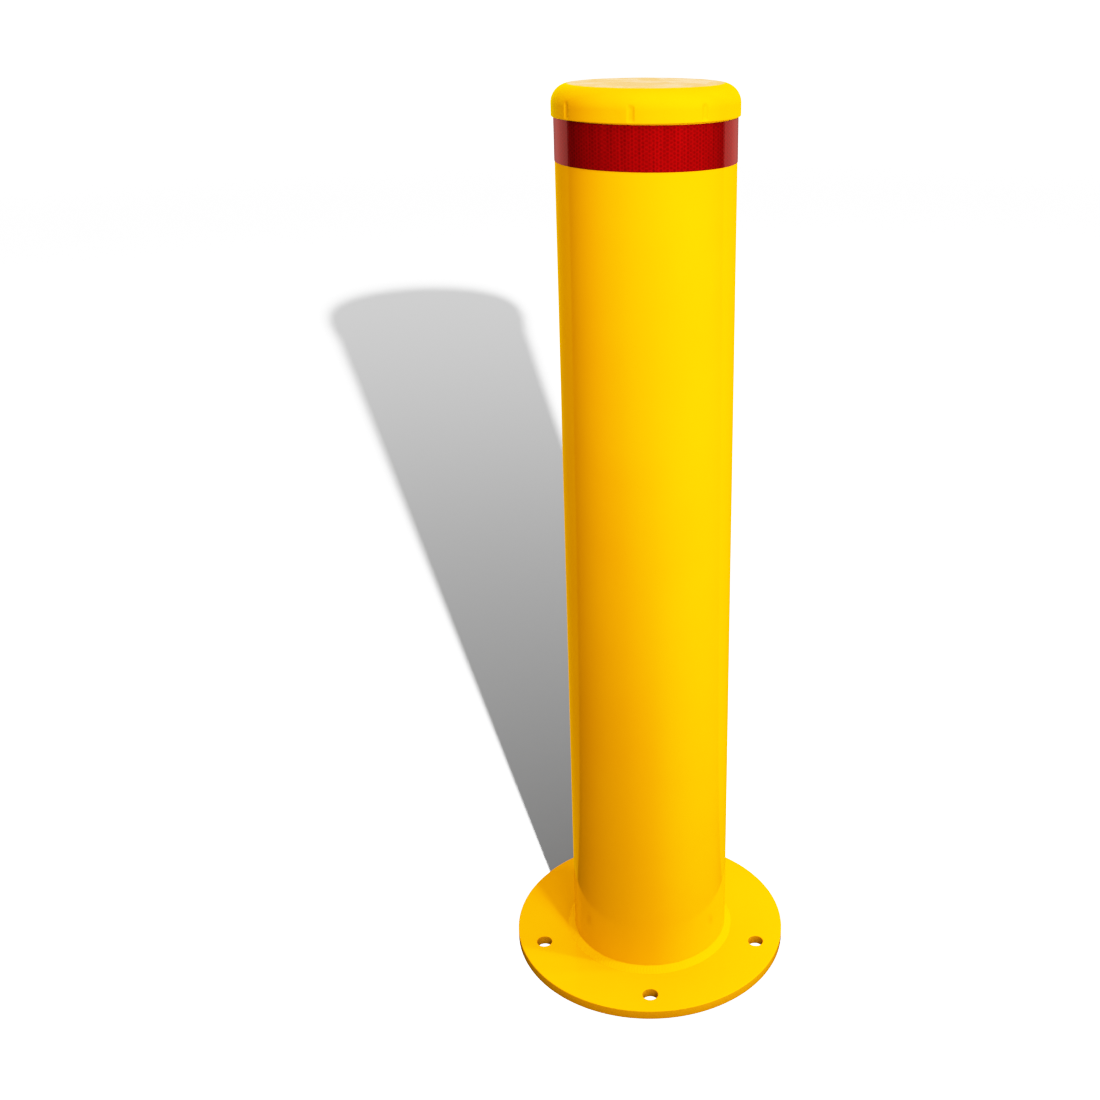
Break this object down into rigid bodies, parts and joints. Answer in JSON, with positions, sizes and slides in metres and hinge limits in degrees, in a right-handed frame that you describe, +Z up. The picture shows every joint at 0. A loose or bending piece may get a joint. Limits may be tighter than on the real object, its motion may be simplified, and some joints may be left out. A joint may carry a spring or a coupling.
{
  "type": "safety bollard",
  "caption": "Surface-mounted safety bollard: round steel post welded to a drilled round base plate, with a red reflective band under a push-on moulded cap.",
  "frame": {"origin": "centre of the base plate's underside, on the ground, on the post's axis", "axes": "+Z up the post's axis, -Y towards the front anchor hole, +X to the right seen from the front"},
  "size_m": [0.29, 0.29, 0.9045],
  "materials": {
    "post_coat": "semi-gloss yellow powder coat",
    "plate_coat": "semi-gloss yellow powder coat",
    "weld_coat": "semi-gloss yellow powder coat over a rippled weld bead",
    "reflective_tape": "glossy red prismatic reflective sheeting",
    "cap_plastic": "smooth moulded yellow plastic, satin gloss"
  },
  "bodies": {
    "post": {"post_tube": "post_coat", "base_plate": "plate_coat", "base_weld": "weld_coat", "reflective_band": "reflective_tape"},
    "cap": {"cap": "cap_plastic"}
  },
  "joints": [
    {"name": "cap_lift", "type": "slide", "parent": "post", "child": "cap", "axis": [0, 0, 1], "range_m": [0, 0.06]}
  ]
}
